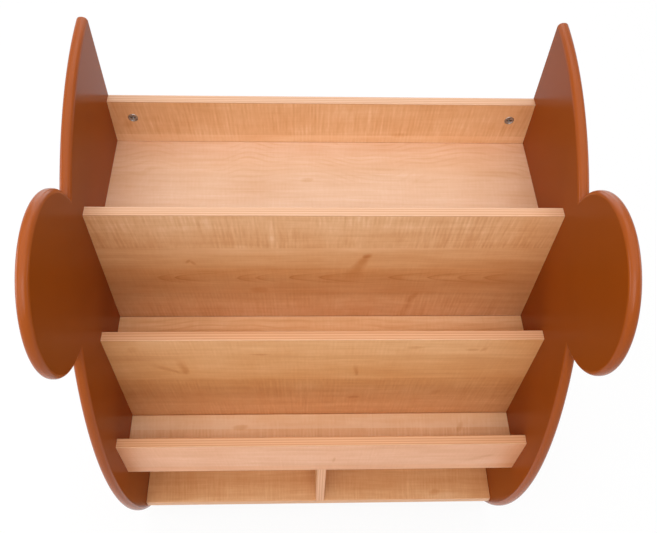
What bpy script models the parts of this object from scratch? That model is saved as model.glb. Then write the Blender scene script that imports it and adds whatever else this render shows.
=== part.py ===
"""Children's bookcase: two rounded side panels carry three stepped book trays and a shelf with two cubbies.

Metres, +Z up, front towards -Y. The origin is on the floor, midway across the width and the depth.
"""

import math

import bmesh
import bpy
from mathutils import Matrix, Vector

# Boards
BOARD = 0.016               # thickness of every shelf, upright board and divider
INNER_WIDTH = 0.664         # between the inner faces of the side panels
CLEARANCE = 0.0003          # gap between neighbouring pieces

# Heights
BASE_GAP = 0.064            # floor to the underside of the bottom shelf
CUBBY_HEIGHT = 0.170        # bottom shelf to the lower edge of the lip
TIER_RISE = 0.170           # one tray to the next
GUARD = 0.080               # upright board above the shelf that it guards
SHELF_DROP = 0.008          # upright board below the underside of the shelf that it meets

# Depths
TOP_TRAY = 0.213            # clear depth of the top tray
TROUGH = 0.080              # clear depth of the two lower trays
LIP_OVERHANG = 0.005        # lip ahead of the bottom shelf

# Side panels: half an ellipse centred on the back edge, with a round lobe at the upper front
PANEL = 0.016               # thickness
PANEL_FRONT = 0.049         # ellipse ahead of the lip
PANEL_RISE = 0.135          # ellipse above the back rail
FOOT_SETBACK = 0.079        # front end of the foot behind the ellipse's front
LOBE_RADIUS = 0.118
LOBE_SETBACK = 0.114        # lobe's centre behind the ellipse's front
LOBE_DROP = 0.119           # lobe's centre below the ellipse's top
EDGE_ROUND = 0.007          # rounding of the curved edge
LEAST_FLAT = 0.001          # left between the two roundings
ROUND_STEPS = 3
FACET = 0.018               # length of a straight facet along the outline

# Cam fittings and their bolts
CAM_RADIUS = 0.0075
CAM_SKIN = 0.004            # board left behind a cam
CAM_INSET = 0.034           # cam's centre from the side panel
CAM_BELOW_TOP = 0.032       # on the back rail and the lip
CAM_ABOVE_FOOT = 0.085      # on the display boards
CROSS_LENGTH = 0.008
CROSS_WIDTH = 0.0016
CROSS_DEPTH = 0.002
BOLT_RADIUS = 0.0035
BOLT_PIN_RADIUS = 0.0025
BOLT_PIN_PAST = 0.002       # pin's tip past the cam's centre
THREAD_RADIUS = 0.003
PANEL_SKIN = 0.005          # panel left behind a blind hole

# Dowels and screws
DOWEL_RADIUS = 0.004
SLIM_DOWEL_RADIUS = 0.003   # over the divider
DOWEL_LENGTH = 0.030
DOWEL_CHAMFER = 0.001
DOWEL_ABOVE_FOOT = 0.024    # on the back rail and the lip
DOWEL_BELOW_TOP = 0.040     # on the display boards
DOWEL_INSET = 0.018         # from the long edges of a tray shelf
SHELF_FIXING_INSET = 0.060  # from the long edges of the top and bottom shelves
SCREW_RADIUS = 0.0035
SCREW_LENGTH = 0.050
SCREW_HEAD_RADIUS = 0.005
SCREW_HEAD = 0.003
SCREW_SOCKET_RADIUS = 0.002
SCREW_SOCKET = 0.002
SCREW_INSET = 0.080         # from the ends of the divider

# Facets round a cam and round the slimmer fittings, and how far a cutter passes the face that it opens
CAM_SIDES = 16
PIN_SIDES = 10
OVERCUT = 0.001

# Heights of the shelves' top faces
BOTTOM_SHELF = BASE_GAP + BOARD
LIP_FOOT = BOTTOM_SHELF + CUBBY_HEIGHT
LOWER_SHELF = LIP_FOOT + SHELF_DROP + BOARD
MIDDLE_SHELF = LOWER_SHELF + TIER_RISE
TOP_SHELF = MIDDLE_SHELF + TIER_RISE

# Distances from the back edge to the front faces of the upright boards and of the bottom shelf
RAIL_FRONT = BOARD
UPPER_FRONT = RAIL_FRONT + TOP_TRAY + BOARD
LOWER_FRONT = UPPER_FRONT + TROUGH + BOARD
LIP_FRONT = LOWER_FRONT + TROUGH + BOARD
SHELF_FRONT = LIP_FRONT - LIP_OVERHANG

# The panel's ellipse passes through its top, its front and the front end of its foot
PANEL_TOP = TOP_SHELF + GUARD + PANEL_RISE
ELLIPSE_DEPTH = LIP_FRONT + PANEL_FRONT
FOOT_DEPTH = ELLIPSE_DEPTH - FOOT_SETBACK
FOOT_SINE = math.sqrt(1 - (FOOT_DEPTH / ELLIPSE_DEPTH) ** 2)
ELLIPSE_HEIGHT = PANEL_TOP / (1 + FOOT_SINE)
ELLIPSE_CENTRE = PANEL_TOP - ELLIPSE_HEIGHT
LOBE_DEPTH = ELLIPSE_DEPTH - LOBE_SETBACK
LOBE_CENTRE = PANEL_TOP - LOBE_DROP

BACK = (LOBE_DEPTH + LOBE_RADIUS) / 2
BOARD_LENGTH = INNER_WIDTH - 2 * CLEARANCE
IN_PANEL = PANEL - PANEL_SKIN
CAM_HEIGHT = BOARD - CAM_SKIN
SIDES = {"left": -1, "right": 1}


def make_material(name, colour, roughness, metallic=0.0):
    material = bpy.data.materials.new(name)
    material.use_nodes = True
    shader = material.node_tree.nodes["Principled BSDF"]
    shader.inputs["Base Color"].default_value = (*colour, 1.0)
    shader.inputs["Roughness"].default_value = roughness
    shader.inputs["Metallic"].default_value = metallic
    material.diffuse_color = (*colour, 1.0)
    return material


def add_object(name, mesh, material=None):
    obj = bpy.data.objects.new(name, mesh)
    if material and not mesh.materials:
        mesh.materials.append(material)
    bpy.context.scene.collection.objects.link(obj)
    return obj


def finish_mesh(shape, name):
    bmesh.ops.recalc_face_normals(shape, faces=shape.faces)
    mesh = bpy.data.meshes.new(name)
    shape.to_mesh(mesh)
    shape.free()
    return mesh


def smooth(mesh):
    mesh.shade_smooth()
    mesh.set_sharp_from_angle(angle=math.radians(40))


def extrude_face(shape, face, offset):
    """Turn a face into a prism."""
    grown = bmesh.ops.extrude_face_region(shape, geom=[face])
    moved = [item for item in grown["geom"] if isinstance(item, bmesh.types.BMVert)]
    bmesh.ops.translate(shape, vec=offset, verts=moved)


def add_turned(shape, profile, sides, frame):
    """Add a solid turned about the Z axis of a frame, from (radius, height) points."""
    rings = []
    for radius, height in profile:
        ring = []
        for step in range(sides):
            angle = math.tau * (step + 0.5) / sides
            point = Vector((radius * math.cos(angle), radius * math.sin(angle), height))
            ring.append(shape.verts.new(frame @ point))
        rings.append(ring)
    for lower, upper in zip(rings, rings[1:]):
        for step in range(sides):
            after = (step + 1) % sides
            shape.faces.new((lower[step], lower[after], upper[after], upper[step]))
    shape.faces.new(rings[0])
    shape.faces.new(rings[-1])


def turned_mesh(name, profile, sides):
    shape = bmesh.new()
    add_turned(shape, profile, sides, Matrix.Identity(4))
    mesh = finish_mesh(shape, name)
    smooth(mesh)
    return mesh


def frame_at(point, along, across=None):
    """A frame at a point, with its Z axis along one direction and its X axis across it."""
    z = Vector(along)
    x = Vector(across) if across else z.orthogonal().normalized()
    turned = Matrix((x, z.cross(x), z)).transposed().to_4x4()
    return Matrix.Translation(point) @ turned


def cut(obj, label, mesh):
    """Take a mesh in world space out of an object."""
    cutter = add_object(f"{obj.name}_{label}", mesh)
    cutter.hide_render = True
    cutter.display_type = "WIRE"
    modifier = obj.modifiers.new(label, "BOOLEAN")
    modifier.operation = "DIFFERENCE"
    modifier.solver = "EXACT"
    modifier.object = cutter
    return cutter


def drill(obj, label, holes):
    """Cut round holes that do not cross each other, each a (profile, sides, frame)."""
    shape = bmesh.new()
    for profile, sides, frame in holes:
        add_turned(shape, profile, sides, frame)
    return cut(obj, label, finish_mesh(shape, label))


def bore(radius, low, high):
    """Profile of a straight hole round a shaft of this radius."""
    return [(radius + CLEARANCE, low), (radius + CLEARANCE, high)]


def from_back(distance):
    """The Y of a point this far in front of the back edge."""
    return BACK - distance


def board(name, low, high, material):
    """A board between two opposite corners."""
    low = Vector(low)
    high = Vector(high)
    shape = bmesh.new()
    bmesh.ops.create_cube(shape, size=1.0)
    bmesh.ops.scale(shape, vec=high - low, verts=shape.verts)
    obj = add_object(name, finish_mesh(shape, name), material)
    obj.location = (low + high) / 2
    return obj


def upright(name, front, low, high, material):
    """A board on edge between the panels, with its front face this far from the back."""
    corner = (-BOARD_LENGTH / 2, from_back(front), low)
    opposite = (BOARD_LENGTH / 2, from_back(front - BOARD), high)
    return board(name, corner, opposite, material)


def shelf(name, back, front, top, material):
    """A board lying flat between the panels, from one distance in front of the back to another."""
    corner = (-BOARD_LENGTH / 2, from_back(front), top - BOARD)
    opposite = (BOARD_LENGTH / 2, from_back(back), top)
    return board(name, corner, opposite, material)


def on_ellipse(angle):
    """Distance from the back, and height. Angle 0 is the front and a quarter turn the top."""
    return ELLIPSE_DEPTH * math.cos(angle), ELLIPSE_CENTRE + ELLIPSE_HEIGHT * math.sin(angle)


def on_lobe(angle):
    return LOBE_DEPTH + LOBE_RADIUS * math.cos(angle), LOBE_CENTRE + LOBE_RADIUS * math.sin(angle)


def lobe_crossing(outside, inside):
    """The angle where the ellipse meets the lobe, between a point outside the lobe and one inside."""
    for _ in range(50):
        middle = (outside + inside) / 2
        depth, height = on_ellipse(middle)
        if math.hypot(depth - LOBE_DEPTH, height - LOBE_CENTRE) < LOBE_RADIUS:
            inside = middle
        else:
            outside = middle
    return outside


def lobe_angle(ellipse_angle):
    """The same point as an angle round the lobe."""
    depth, height = on_ellipse(ellipse_angle)
    return math.atan2(height - LOBE_CENTRE, depth - LOBE_DEPTH)


def arc(point_at, start, end, radius):
    """Points along a curve between two angles, about a facet apart."""
    count = max(4, round(radius * (end - start) / FACET))
    return [point_at(start + (end - start) * step / count) for step in range(count + 1)]


def panel_outline():
    """Corners of a side panel, from the back of the foot round the front to the top of the back."""
    foot = -math.asin(FOOT_SINE)
    top = math.pi / 2
    middle = math.atan2((LOBE_CENTRE - ELLIPSE_CENTRE) / ELLIPSE_HEIGHT, LOBE_DEPTH / ELLIPSE_DEPTH)
    lower = lobe_crossing(0.0, middle)
    upper = lobe_crossing(top, middle)

    below = arc(on_ellipse, foot, lower, ELLIPSE_HEIGHT)
    under_lobe = arc(on_lobe, lobe_angle(lower), 0.0, LOBE_RADIUS)
    over_lobe = arc(on_lobe, 0.0, lobe_angle(upper) % math.tau, LOBE_RADIUS)
    above = arc(on_ellipse, upper, top, ELLIPSE_DEPTH)
    return [(0.0, 0.0)] + below[:-1] + under_lobe[:-1] + over_lobe + above[1:]


def side_panel(name, side, material):
    """A panel with its curved edge rounded on both faces, and its foot and back edge left square."""
    shape = bmesh.new()
    inner = side * INNER_WIDTH / 2
    corners = [shape.verts.new((inner, from_back(depth), height)) for depth, height in panel_outline()]
    extrude_face(shape, shape.faces.new(corners), (side * PANEL, 0, 0))
    bmesh.ops.recalc_face_normals(shape, faces=shape.faces)

    touching = CLEARANCE / 10
    curved = []
    for edge in shape.edges:
        a, b = (vert.co for vert in edge.verts)
        across = abs(a.x - b.x) > touching
        foot = max(a.z, b.z) < touching
        back = min(a.y, b.y) > BACK - touching
        if not (across or foot or back):
            curved.append(edge)
    bmesh.ops.bevel(
        shape,
        geom=curved,
        offset=min(EDGE_ROUND, (PANEL - LEAST_FLAT) / 2),
        offset_type="OFFSET",
        segments=ROUND_STEPS,
        profile=0.5,
        affect="EDGES",
    )
    mesh = finish_mesh(shape, name)
    smooth(mesh)
    return add_object(name, mesh, material)


def cam_mesh():
    """A cam, its face at height 0. A bore along X takes the bolt's pin, and the face has a cross recess."""
    blank = add_object("cam", turned_mesh("cam", [(CAM_RADIUS, -CAM_HEIGHT), (CAM_RADIUS, 0.0)], CAM_SIDES))

    start = frame_at((-BOLT_PIN_PAST - CLEARANCE, 0, -BOARD / 2), (1, 0, 0), (0, 0, 1))
    pin_bore = drill(blank, "pin_bore", [(bore(BOLT_PIN_RADIUS, 0, 2 * CAM_RADIUS), PIN_SIDES, start)])

    reach = CROSS_LENGTH / 2
    slot = CROSS_WIDTH / 2
    shape = bmesh.new()
    corners = []
    for quarter in range(4):
        turned = Matrix.Rotation(quarter * math.pi / 2, 4, "Z")
        for x, y in ((reach, -slot), (reach, slot), (slot, slot)):
            corners.append(shape.verts.new(turned @ Vector((x, y, -CROSS_DEPTH))))
    extrude_face(shape, shape.faces.new(corners), (0, 0, CROSS_DEPTH + OVERCUT))
    cross = cut(blank, "cross", finish_mesh(shape, "cross"))

    evaluated = blank.evaluated_get(bpy.context.evaluated_depsgraph_get())
    mesh = bpy.data.meshes.new_from_object(evaluated)
    for used in (blank, pin_bore, cross):
        bpy.data.objects.remove(used)
    return mesh


def bolt_mesh():
    """A cam bolt from its thread to its pin. Height 0 is the panel's inner face."""
    rim = CAM_INSET - CAM_RADIUS - CLEARANCE
    profile = [
        (THREAD_RADIUS, CLEARANCE - IN_PANEL),
        (THREAD_RADIUS, CLEARANCE),
        (BOLT_RADIUS, CLEARANCE),
        (BOLT_RADIUS, rim),
        (BOLT_PIN_RADIUS, rim),
        (BOLT_PIN_RADIUS, CAM_INSET + BOLT_PIN_PAST),
    ]
    return turned_mesh("bolt", profile, PIN_SIDES)


def dowel_mesh(radius):
    """A dowel with chamfered ends. Height 0 is the joint that it crosses."""
    low = CLEARANCE - IN_PANEL
    high = low + DOWEL_LENGTH
    profile = [
        (radius - DOWEL_CHAMFER, low),
        (radius, low + DOWEL_CHAMFER),
        (radius, high - DOWEL_CHAMFER),
        (radius - DOWEL_CHAMFER, high),
    ]
    return turned_mesh("dowel", profile, PIN_SIDES)


def screw_mesh():
    """A flat-headed screw with a round socket. Height 0 is the face of its head."""
    profile = [
        (SCREW_SOCKET_RADIUS, SCREW_SOCKET),
        (SCREW_SOCKET_RADIUS, 0.0),
        (SCREW_HEAD_RADIUS, 0.0),
        (SCREW_HEAD_RADIUS, SCREW_HEAD),
        (SCREW_RADIUS, SCREW_HEAD),
        (SCREW_RADIUS, SCREW_LENGTH),
    ]
    return turned_mesh("screw", profile, PIN_SIDES)


def place(name, mesh, material, frame):
    obj = add_object(name, mesh, material)
    obj.matrix_world = frame
    return obj


for stale in list(bpy.data.objects):
    bpy.data.objects.remove(stale)

lacquer = make_material("terracotta_lacquer", (0.42, 0.125, 0.035), 0.32)
laminate = make_material("maple_laminate", (0.70, 0.40, 0.20), 0.45)
zinc = make_material("zinc_cam", (0.55, 0.55, 0.56), 0.35, 1.0)
steel = make_material("steel_fastener", (0.60, 0.60, 0.62), 0.30, 1.0)
beech = make_material("beech_dowel", (0.62, 0.40, 0.22), 0.60)

cam = cam_mesh()
bolt = bolt_mesh()
dowel = dowel_mesh(DOWEL_RADIUS)
slim_dowel = dowel_mesh(SLIM_DOWEL_RADIUS)
screw = screw_mesh()

# Side panels, shelves and upright boards
panels = {side: side_panel(f"{side}_side_panel", sign, lacquer) for side, sign in SIDES.items()}

top_edge = TOP_SHELF + GUARD
middle_edge = MIDDLE_SHELF + GUARD
lip_edge = LOWER_SHELF + GUARD
rail_foot = TOP_SHELF - BOARD - SHELF_DROP
upper_foot = MIDDLE_SHELF - BOARD - SHELF_DROP
back_rail = upright("back_rail", RAIL_FRONT, rail_foot, top_edge, laminate)
upper_board = upright("upper_display_board", UPPER_FRONT, upper_foot, top_edge, laminate)
lower_board = upright("lower_display_board", LOWER_FRONT, LIP_FOOT, middle_edge, laminate)
front_lip = upright("front_lip", LIP_FRONT, LIP_FOOT, lip_edge, laminate)

top_shelf = shelf("top_shelf", RAIL_FRONT + CLEARANCE, UPPER_FRONT - BOARD - CLEARANCE, TOP_SHELF, laminate)
middle_shelf = shelf(
    "middle_shelf", UPPER_FRONT + CLEARANCE, LOWER_FRONT - BOARD - CLEARANCE, MIDDLE_SHELF, laminate
)
lower_shelf = shelf("lower_shelf", LOWER_FRONT + CLEARANCE, LIP_FRONT - BOARD - CLEARANCE, LOWER_SHELF, laminate)
bottom_shelf = shelf("bottom_shelf", 0.0, SHELF_FRONT, BOTTOM_SHELF, laminate)
divider = board(
    "cubby_divider",
    (-BOARD / 2, from_back(SHELF_FRONT), BOTTOM_SHELF + CLEARANCE),
    (BOARD / 2, BACK, LIP_FOOT - CLEARANCE),
    laminate,
)

# Where the boards' ends are fixed to the panels, as (distance from the back, height)
rail_line = RAIL_FRONT - BOARD / 2
upper_line = UPPER_FRONT - BOARD / 2
lower_line = LOWER_FRONT - BOARD / 2
lip_line = LIP_FRONT - BOARD / 2
forward = (0, -1, 0)
backward = (0, 1, 0)
downward = (0, 0, -1)
cam_points = [
    (back_rail, forward, rail_line, top_edge - CAM_BELOW_TOP),
    (upper_board, backward, upper_line, upper_foot + CAM_ABOVE_FOOT),
    (lower_board, backward, lower_line, LIP_FOOT + CAM_ABOVE_FOOT),
    (front_lip, backward, lip_line, lip_edge - CAM_BELOW_TOP),
    (top_shelf, downward, UPPER_FRONT - BOARD - SHELF_FIXING_INSET, TOP_SHELF - BOARD / 2),
    (bottom_shelf, downward, SHELF_FRONT - SHELF_FIXING_INSET, BOTTOM_SHELF - BOARD / 2),
]
dowel_points = [
    (back_rail, "dowel", rail_line, rail_foot + DOWEL_ABOVE_FOOT),
    (upper_board, "dowel", upper_line, top_edge - DOWEL_BELOW_TOP),
    (lower_board, "dowel", lower_line, middle_edge - DOWEL_BELOW_TOP),
    (front_lip, "dowel", lip_line, LIP_FOOT + DOWEL_ABOVE_FOOT),
    (top_shelf, "dowel", RAIL_FRONT + SHELF_FIXING_INSET, TOP_SHELF - BOARD / 2),
    (bottom_shelf, "dowel", SHELF_FIXING_INSET, BOTTOM_SHELF - BOARD / 2),
]
for tray, back, front, top in (
    (middle_shelf, UPPER_FRONT, LOWER_FRONT - BOARD, MIDDLE_SHELF),
    (lower_shelf, LOWER_FRONT, LIP_FRONT - BOARD, LOWER_SHELF),
):
    dowel_points.append((tray, "back_dowel", back + DOWEL_INSET, top - BOARD / 2))
    dowel_points.append((tray, "front_dowel", front - DOWEL_INSET, top - BOARD / 2))

housings = {}
bores = {}
for side, sign in SIDES.items():
    inwards = (-sign, 0, 0)
    inner = sign * INNER_WIDTH / 2

    for piece, face, depth, height in cam_points:
        middle = Vector((inner, from_back(depth), height))
        bolt_frame = frame_at(middle, inwards)
        place(f"{piece.name}_bolt_{side}", bolt, steel, bolt_frame)
        bores.setdefault(piece, []).append((bore(BOLT_RADIUS, -OVERCUT, CAM_INSET), PIN_SIDES, bolt_frame))
        bores.setdefault(panels[side], []).append((bore(THREAD_RADIUS, -IN_PANEL, OVERCUT), PIN_SIDES, bolt_frame))

        on_face = middle + Vector(inwards) * CAM_INSET + Vector(face) * BOARD / 2
        cam_frame = frame_at(on_face, face, (sign, 0, 0))
        place(f"{piece.name}_cam_{side}", cam, zinc, cam_frame)
        housing = bore(CAM_RADIUS, -CAM_HEIGHT - CLEARANCE, OVERCUT)
        housings.setdefault(piece, []).append((housing, CAM_SIDES, cam_frame))

    for piece, label, depth, height in dowel_points:
        dowel_frame = frame_at((inner, from_back(depth), height), inwards)
        place(f"{piece.name}_{label}_{side}", dowel, beech, dowel_frame)
        in_board = bore(DOWEL_RADIUS, -OVERCUT, DOWEL_LENGTH - IN_PANEL + 2 * CLEARANCE)
        bores.setdefault(piece, []).append((in_board, PIN_SIDES, dowel_frame))
        bores.setdefault(panels[side], []).append((bore(DOWEL_RADIUS, -IN_PANEL, OVERCUT), PIN_SIDES, dowel_frame))

# The divider hangs on two dowels under the lip and the lower display board, and is screwed from below
under_lip = (LIP_FRONT - BOARD + SHELF_FRONT) / 2  # midway between the lip's back and the divider's front
for piece, depth, label in ((front_lip, under_lip, "front"), (lower_board, lower_line, "back")):
    dowel_frame = frame_at((0, from_back(depth), LIP_FOOT), downward)
    place(f"cubby_divider_{label}_dowel", slim_dowel, beech, dowel_frame)
    bores[piece].append((bore(SLIM_DOWEL_RADIUS, -IN_PANEL, OVERCUT), PIN_SIDES, dowel_frame))
    in_divider = bore(SLIM_DOWEL_RADIUS, -OVERCUT, DOWEL_LENGTH - IN_PANEL + 2 * CLEARANCE)
    bores.setdefault(divider, []).append((in_divider, PIN_SIDES, dowel_frame))

for label, depth in (("front", SHELF_FRONT - SCREW_INSET), ("back", SCREW_INSET)):
    screw_frame = frame_at((0, from_back(depth), BASE_GAP), (0, 0, 1))
    place(f"cubby_divider_{label}_screw", screw, steel, screw_frame)
    through = bore(SCREW_HEAD_RADIUS, -OVERCUT, SCREW_HEAD + CLEARANCE)
    through += bore(SCREW_RADIUS, SCREW_HEAD + CLEARANCE, BOARD + OVERCUT)
    bores[bottom_shelf].append((through, PIN_SIDES, screw_frame))
    blind = bore(SCREW_RADIUS, BOARD - OVERCUT, SCREW_LENGTH + CLEARANCE)
    bores[divider].append((blind, PIN_SIDES, screw_frame))

for piece, holes in housings.items():
    drill(piece, "housings", holes)
for piece, holes in bores.items():
    drill(piece, "bores", holes)
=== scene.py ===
import math

import bpy
from mathutils import Matrix, Vector


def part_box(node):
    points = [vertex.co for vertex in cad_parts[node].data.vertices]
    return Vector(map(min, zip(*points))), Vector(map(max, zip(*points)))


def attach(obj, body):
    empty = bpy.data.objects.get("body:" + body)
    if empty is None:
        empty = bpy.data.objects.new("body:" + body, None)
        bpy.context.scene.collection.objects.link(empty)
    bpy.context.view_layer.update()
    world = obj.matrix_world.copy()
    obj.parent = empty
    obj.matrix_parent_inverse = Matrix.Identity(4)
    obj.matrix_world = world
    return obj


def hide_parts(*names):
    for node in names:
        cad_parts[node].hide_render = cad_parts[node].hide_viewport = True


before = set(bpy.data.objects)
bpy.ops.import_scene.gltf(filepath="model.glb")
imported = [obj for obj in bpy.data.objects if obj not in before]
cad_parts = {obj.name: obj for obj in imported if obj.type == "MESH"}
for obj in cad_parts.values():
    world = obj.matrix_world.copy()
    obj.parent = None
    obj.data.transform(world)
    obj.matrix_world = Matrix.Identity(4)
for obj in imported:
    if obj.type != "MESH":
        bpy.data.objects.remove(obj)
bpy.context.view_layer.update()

clearance = 0.0003  # gap round every fitting
sliver = 0.000003  # cuts leave no edge shorter than this
near = 0.0001  # what lies on a face is within this of it
print("frame loaded,", len(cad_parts), "nodes")


# Shader wiring: a wire is one output socket, and arithmetic on wires adds Math nodes

class Wire:
    def __init__(self, tree, socket=None):
        self.tree = tree
        self.socket = socket

    def node(self, kind, settings, sockets, output=0):
        made = self.tree.nodes.new("ShaderNode" + kind)
        for name, value in settings.items():
            if name == "stops":
                self.setStops(made.color_ramp, value)
            else:
                setattr(made, name, value)
        for name, value in sockets.items():
            if isinstance(value, Wire):
                self.tree.links.new(value.socket, made.inputs[name])
            else:
                made.inputs[name].default_value = value
        return Wire(self.tree, made.outputs[output])

    def setStops(self, ramp, stops):
        ramp.elements.remove(ramp.elements[1])
        ramp.elements[0].position = stops[0][0]
        ramp.elements[0].color = (*stops[0][1], 1.0)
        for place, colour in stops[1:]:
            ramp.elements.new(place).color = (*colour, 1.0)

    def math(self, operation, first, second=0.0):
        return self.node("Math", {"operation": operation}, {0: first, 1: second})

    def __add__(self, other):
        return self.math("ADD", self, other)

    def __sub__(self, other):
        return self.math("SUBTRACT", self, other)

    def __mul__(self, other):
        return self.math("MULTIPLY", self, other)

    def __truediv__(self, other):
        return self.math("DIVIDE", self, other)

    def __rsub__(self, other):
        return self.math("SUBTRACT", other, self)

    def __rtruediv__(self, other):
        return self.math("DIVIDE", other, self)

    __radd__ = __add__
    __rmul__ = __mul__

    def ease(self, start, end):
        sockets = {"Value": self, "From Min": start, "From Max": end}
        return self.node("MapRange", {"interpolation_type": "SMOOTHSTEP"}, sockets)

    def blend(self, first, second):
        return self.node("Mix", {"data_type": "RGBA"}, {0: self, 6: first, 7: second}, 2)

    def tint(self, first, second):
        settings = {"data_type": "RGBA", "blend_type": "MULTIPLY"}
        return self.node("Mix", settings, {0: 1.0, 6: first, 7: second}, 2)

    def channel(self, index):
        return self.node("SeparateColor", {}, {0: self}, index)

    def noise(self, x, y, z, detail, rough=0.5):
        place = self.node("CombineXYZ", {}, {0: x, 1: y, 2: z})
        sockets = {"Vector": place, "Scale": 1.0, "Detail": detail, "Roughness": rough}
        return self.node("TexNoise", {}, sockets)


def startMaterial(name):
    material = bpy.data.materials.new(name)
    material.use_nodes = True
    return material, Wire(material.node_tree), material.node_tree.nodes["Principled BSDF"]


def objectPlace(wire):
    place = wire.node("TexCoord", {}, {}, 3)
    return [wire.node("SeparateXYZ", {}, {0: place}, axis) for axis in range(3)]


def feed(wire, shader, **sockets):
    for name, value in sockets.items():
        wire.tree.links.new(value.socket, shader.inputs[name.replace("_", " ")])


def bump(wire, height, strength, distance):
    return wire.node("Bump", {}, {"Strength": strength, "Distance": distance, "Height": height})


def evenNoise(place, scale, detail):
    x, y, z = [part * scale for part in place]
    return x.noise(x, y, z, detail)


# Maple laminate: planks across the board, fine grain, curl, cathedral arches and knots
# Tones are steps of brightness: 0 is the board's own colour, and darker tones are warmer

maple = {
    "fall": (0.82, 1.65, 2.8),  # how fast red, green and blue go as the grain darkens
    "darkest": -0.5,
    "palest": 0.3,
    "shades": 6,
    "seam": 0.004,  # share of the board over which one plank gives way to the next
    "seamWave": 0.01,
    "amber": (1.03, 0.99, 0.92, 1.0),  # tint of a plank with no blush
    "rose": (0.95, 1.02, 1.10, 1.0),  # and of one with all of it
    # painted shade: the board is drawn darker toward its two ends, where the side panels shade it
    "ends": 0.05,  # how much darker the board is toward its two ends
    "paintedEndShadeFrom": (0.35, 1.1),
    "roughness": 0.42,
    "poreRoughness": 0.12,
    "streakRoughness": 0.05,
    "poreBump": (0.04, 0.0002),
    "pores": 0.16,
    "lines": 0.30,
    "lineSway": 0.03,
    "drift": 0.22,
    "cloud": 0.16,
    "chatter": 0.20,
    "plainChatter": 0.25,  # share of it in a plank with no curl
    "curl": 0.28,
    "curlPeriod": 0.0056,
    "curlSlant": 0.35,
    "curlBend": 9.0,
    "streak": 1.6,
    "comb": 0.20,
    "dashCut": (0.35, 0.65),
    "patchCut": (0.30, 0.55),
    "bands": 0.22,
    "gleam": 0.05,
    "gleamCut": (0.62, 0.72),
    "rings": 0.09,
    "ringCut": (0.1, 1.0),
    "ringBreakCut": (0.35, 0.6),
    "arch": 0.30,
    "archSection": ((-0.0020, 0.0), (0.0, 1.0), (0.0045, 0.35), (0.026, 0.0)),
    "archWobble": 0.02,
    "knot": 0.34,
    "knotRagged": 1.2,
    "knotCut": (-0.2, 1.2),
    "flameSideCut": (0.1, 1.1),
    "flameTipCut": (-0.1, 0.1),
    "flameTailCut": (0.2, 1.15),
}

# How fast each noise changes along and across the board, its step of seed, its detail and roughness
grainNoises = {
    "wave": (3.0, 3.0, 0.0, 2.0, 0.5),
    "pores": (14.0, 420.0, 0.0, 3.0, 0.6),
    "sway": (2.6, 7.0, 1.0, 2.0, 0.5),
    "lines": (6.0, 100.0, 2.0, 3.0, 0.6),
    "drift": (3.0, 30.0, 3.0, 3.0, 0.5),
    "cloud": (14.0, 28.0, 4.0, 2.0, 0.5),
    "bend": (16.0, 6.0, 5.0, 2.0, 0.5),
    "dash": (50.0, 30.0, 6.0, 2.0, 0.5),
    "streak": (190.0, 10.0, 7.0, 3.0, 0.6),
    "chatter": (260.0, 60.0, 8.0, 3.0, 0.5),
    "patch": (8.0, 10.0, 9.0, 2.0, 0.5),
    "bands": (36.0, 5.0, 10.0, 2.0, 0.5),
    "wobble": (9.0, 50.0, 11.0, 2.0, 0.5),
    "gleam": (95.0, 7.0, 12.0, 2.0, 0.5),
    "ragged": (60.0, 60.0, 13.0, 3.0, 0.5),
    "swing": (1.0, 5.0, 14.0, 2.0, 0.5),
    "ringBreak": (7.0, 30.0, 15.0, 2.0, 0.5),
    "bandWander": (1.8, 60.0, 0.0, 2.0, 0.5),
    "bandFine": (9.0, 1200.0, 2.0, 2.0, 0.5),
    "fleck": (120.0, 900.0, 0.0, 2.0, 0.5),
}


def grainNoise(name, u, v, seed):
    along, across, step, detail, rough = grainNoises[name]
    return u.noise(u * along, v * across, seed + step, detail, rough)


def boardAxes(wire, along):
    x, y, z = objectPlace(wire)
    if along == "z":
        return z, x + y
    return x, y + z


def shade(colour, tone):
    return tuple(min(part * math.exp(tone * fall), 1.0) for part, fall in zip(colour, maple["fall"]))


def shadeStops(colour):
    span = maple["palest"] - maple["darkest"]
    places = [step / (maple["shades"] - 1) for step in range(maple["shades"])]
    return [(place, shade(colour, maple["darkest"] + place * span)) for place in places]


def grainColour(wire, colour, tone):
    span = maple["palest"] - maple["darkest"]
    return wire.node("ValToRGB", {"stops": shadeStops(colour)}, {0: (tone - maple["darkest"]) / span})


def plankStops(planks):
    stops = []
    ends = [plank[0] for plank in planks[1:]] + [1.0]
    for (start, low, high, curl, blushLow, blushHigh), end in zip(planks, ends):
        stops.append((start + maple["seam"], (low - maple["darkest"], curl, blushLow)))
        stops.append((end - maple["seam"], (high - maple["darkest"], curl, blushHigh)))
    return stops


def archStops(tips, start, end):
    # a thin dark line at every tip, then a faint shade that clears
    stops = []
    for tip in tips:
        for step, depth in maple["archSection"]:
            stops.append(((tip + step - start) / (end - start), (depth, depth, depth)))
    return stops


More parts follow.
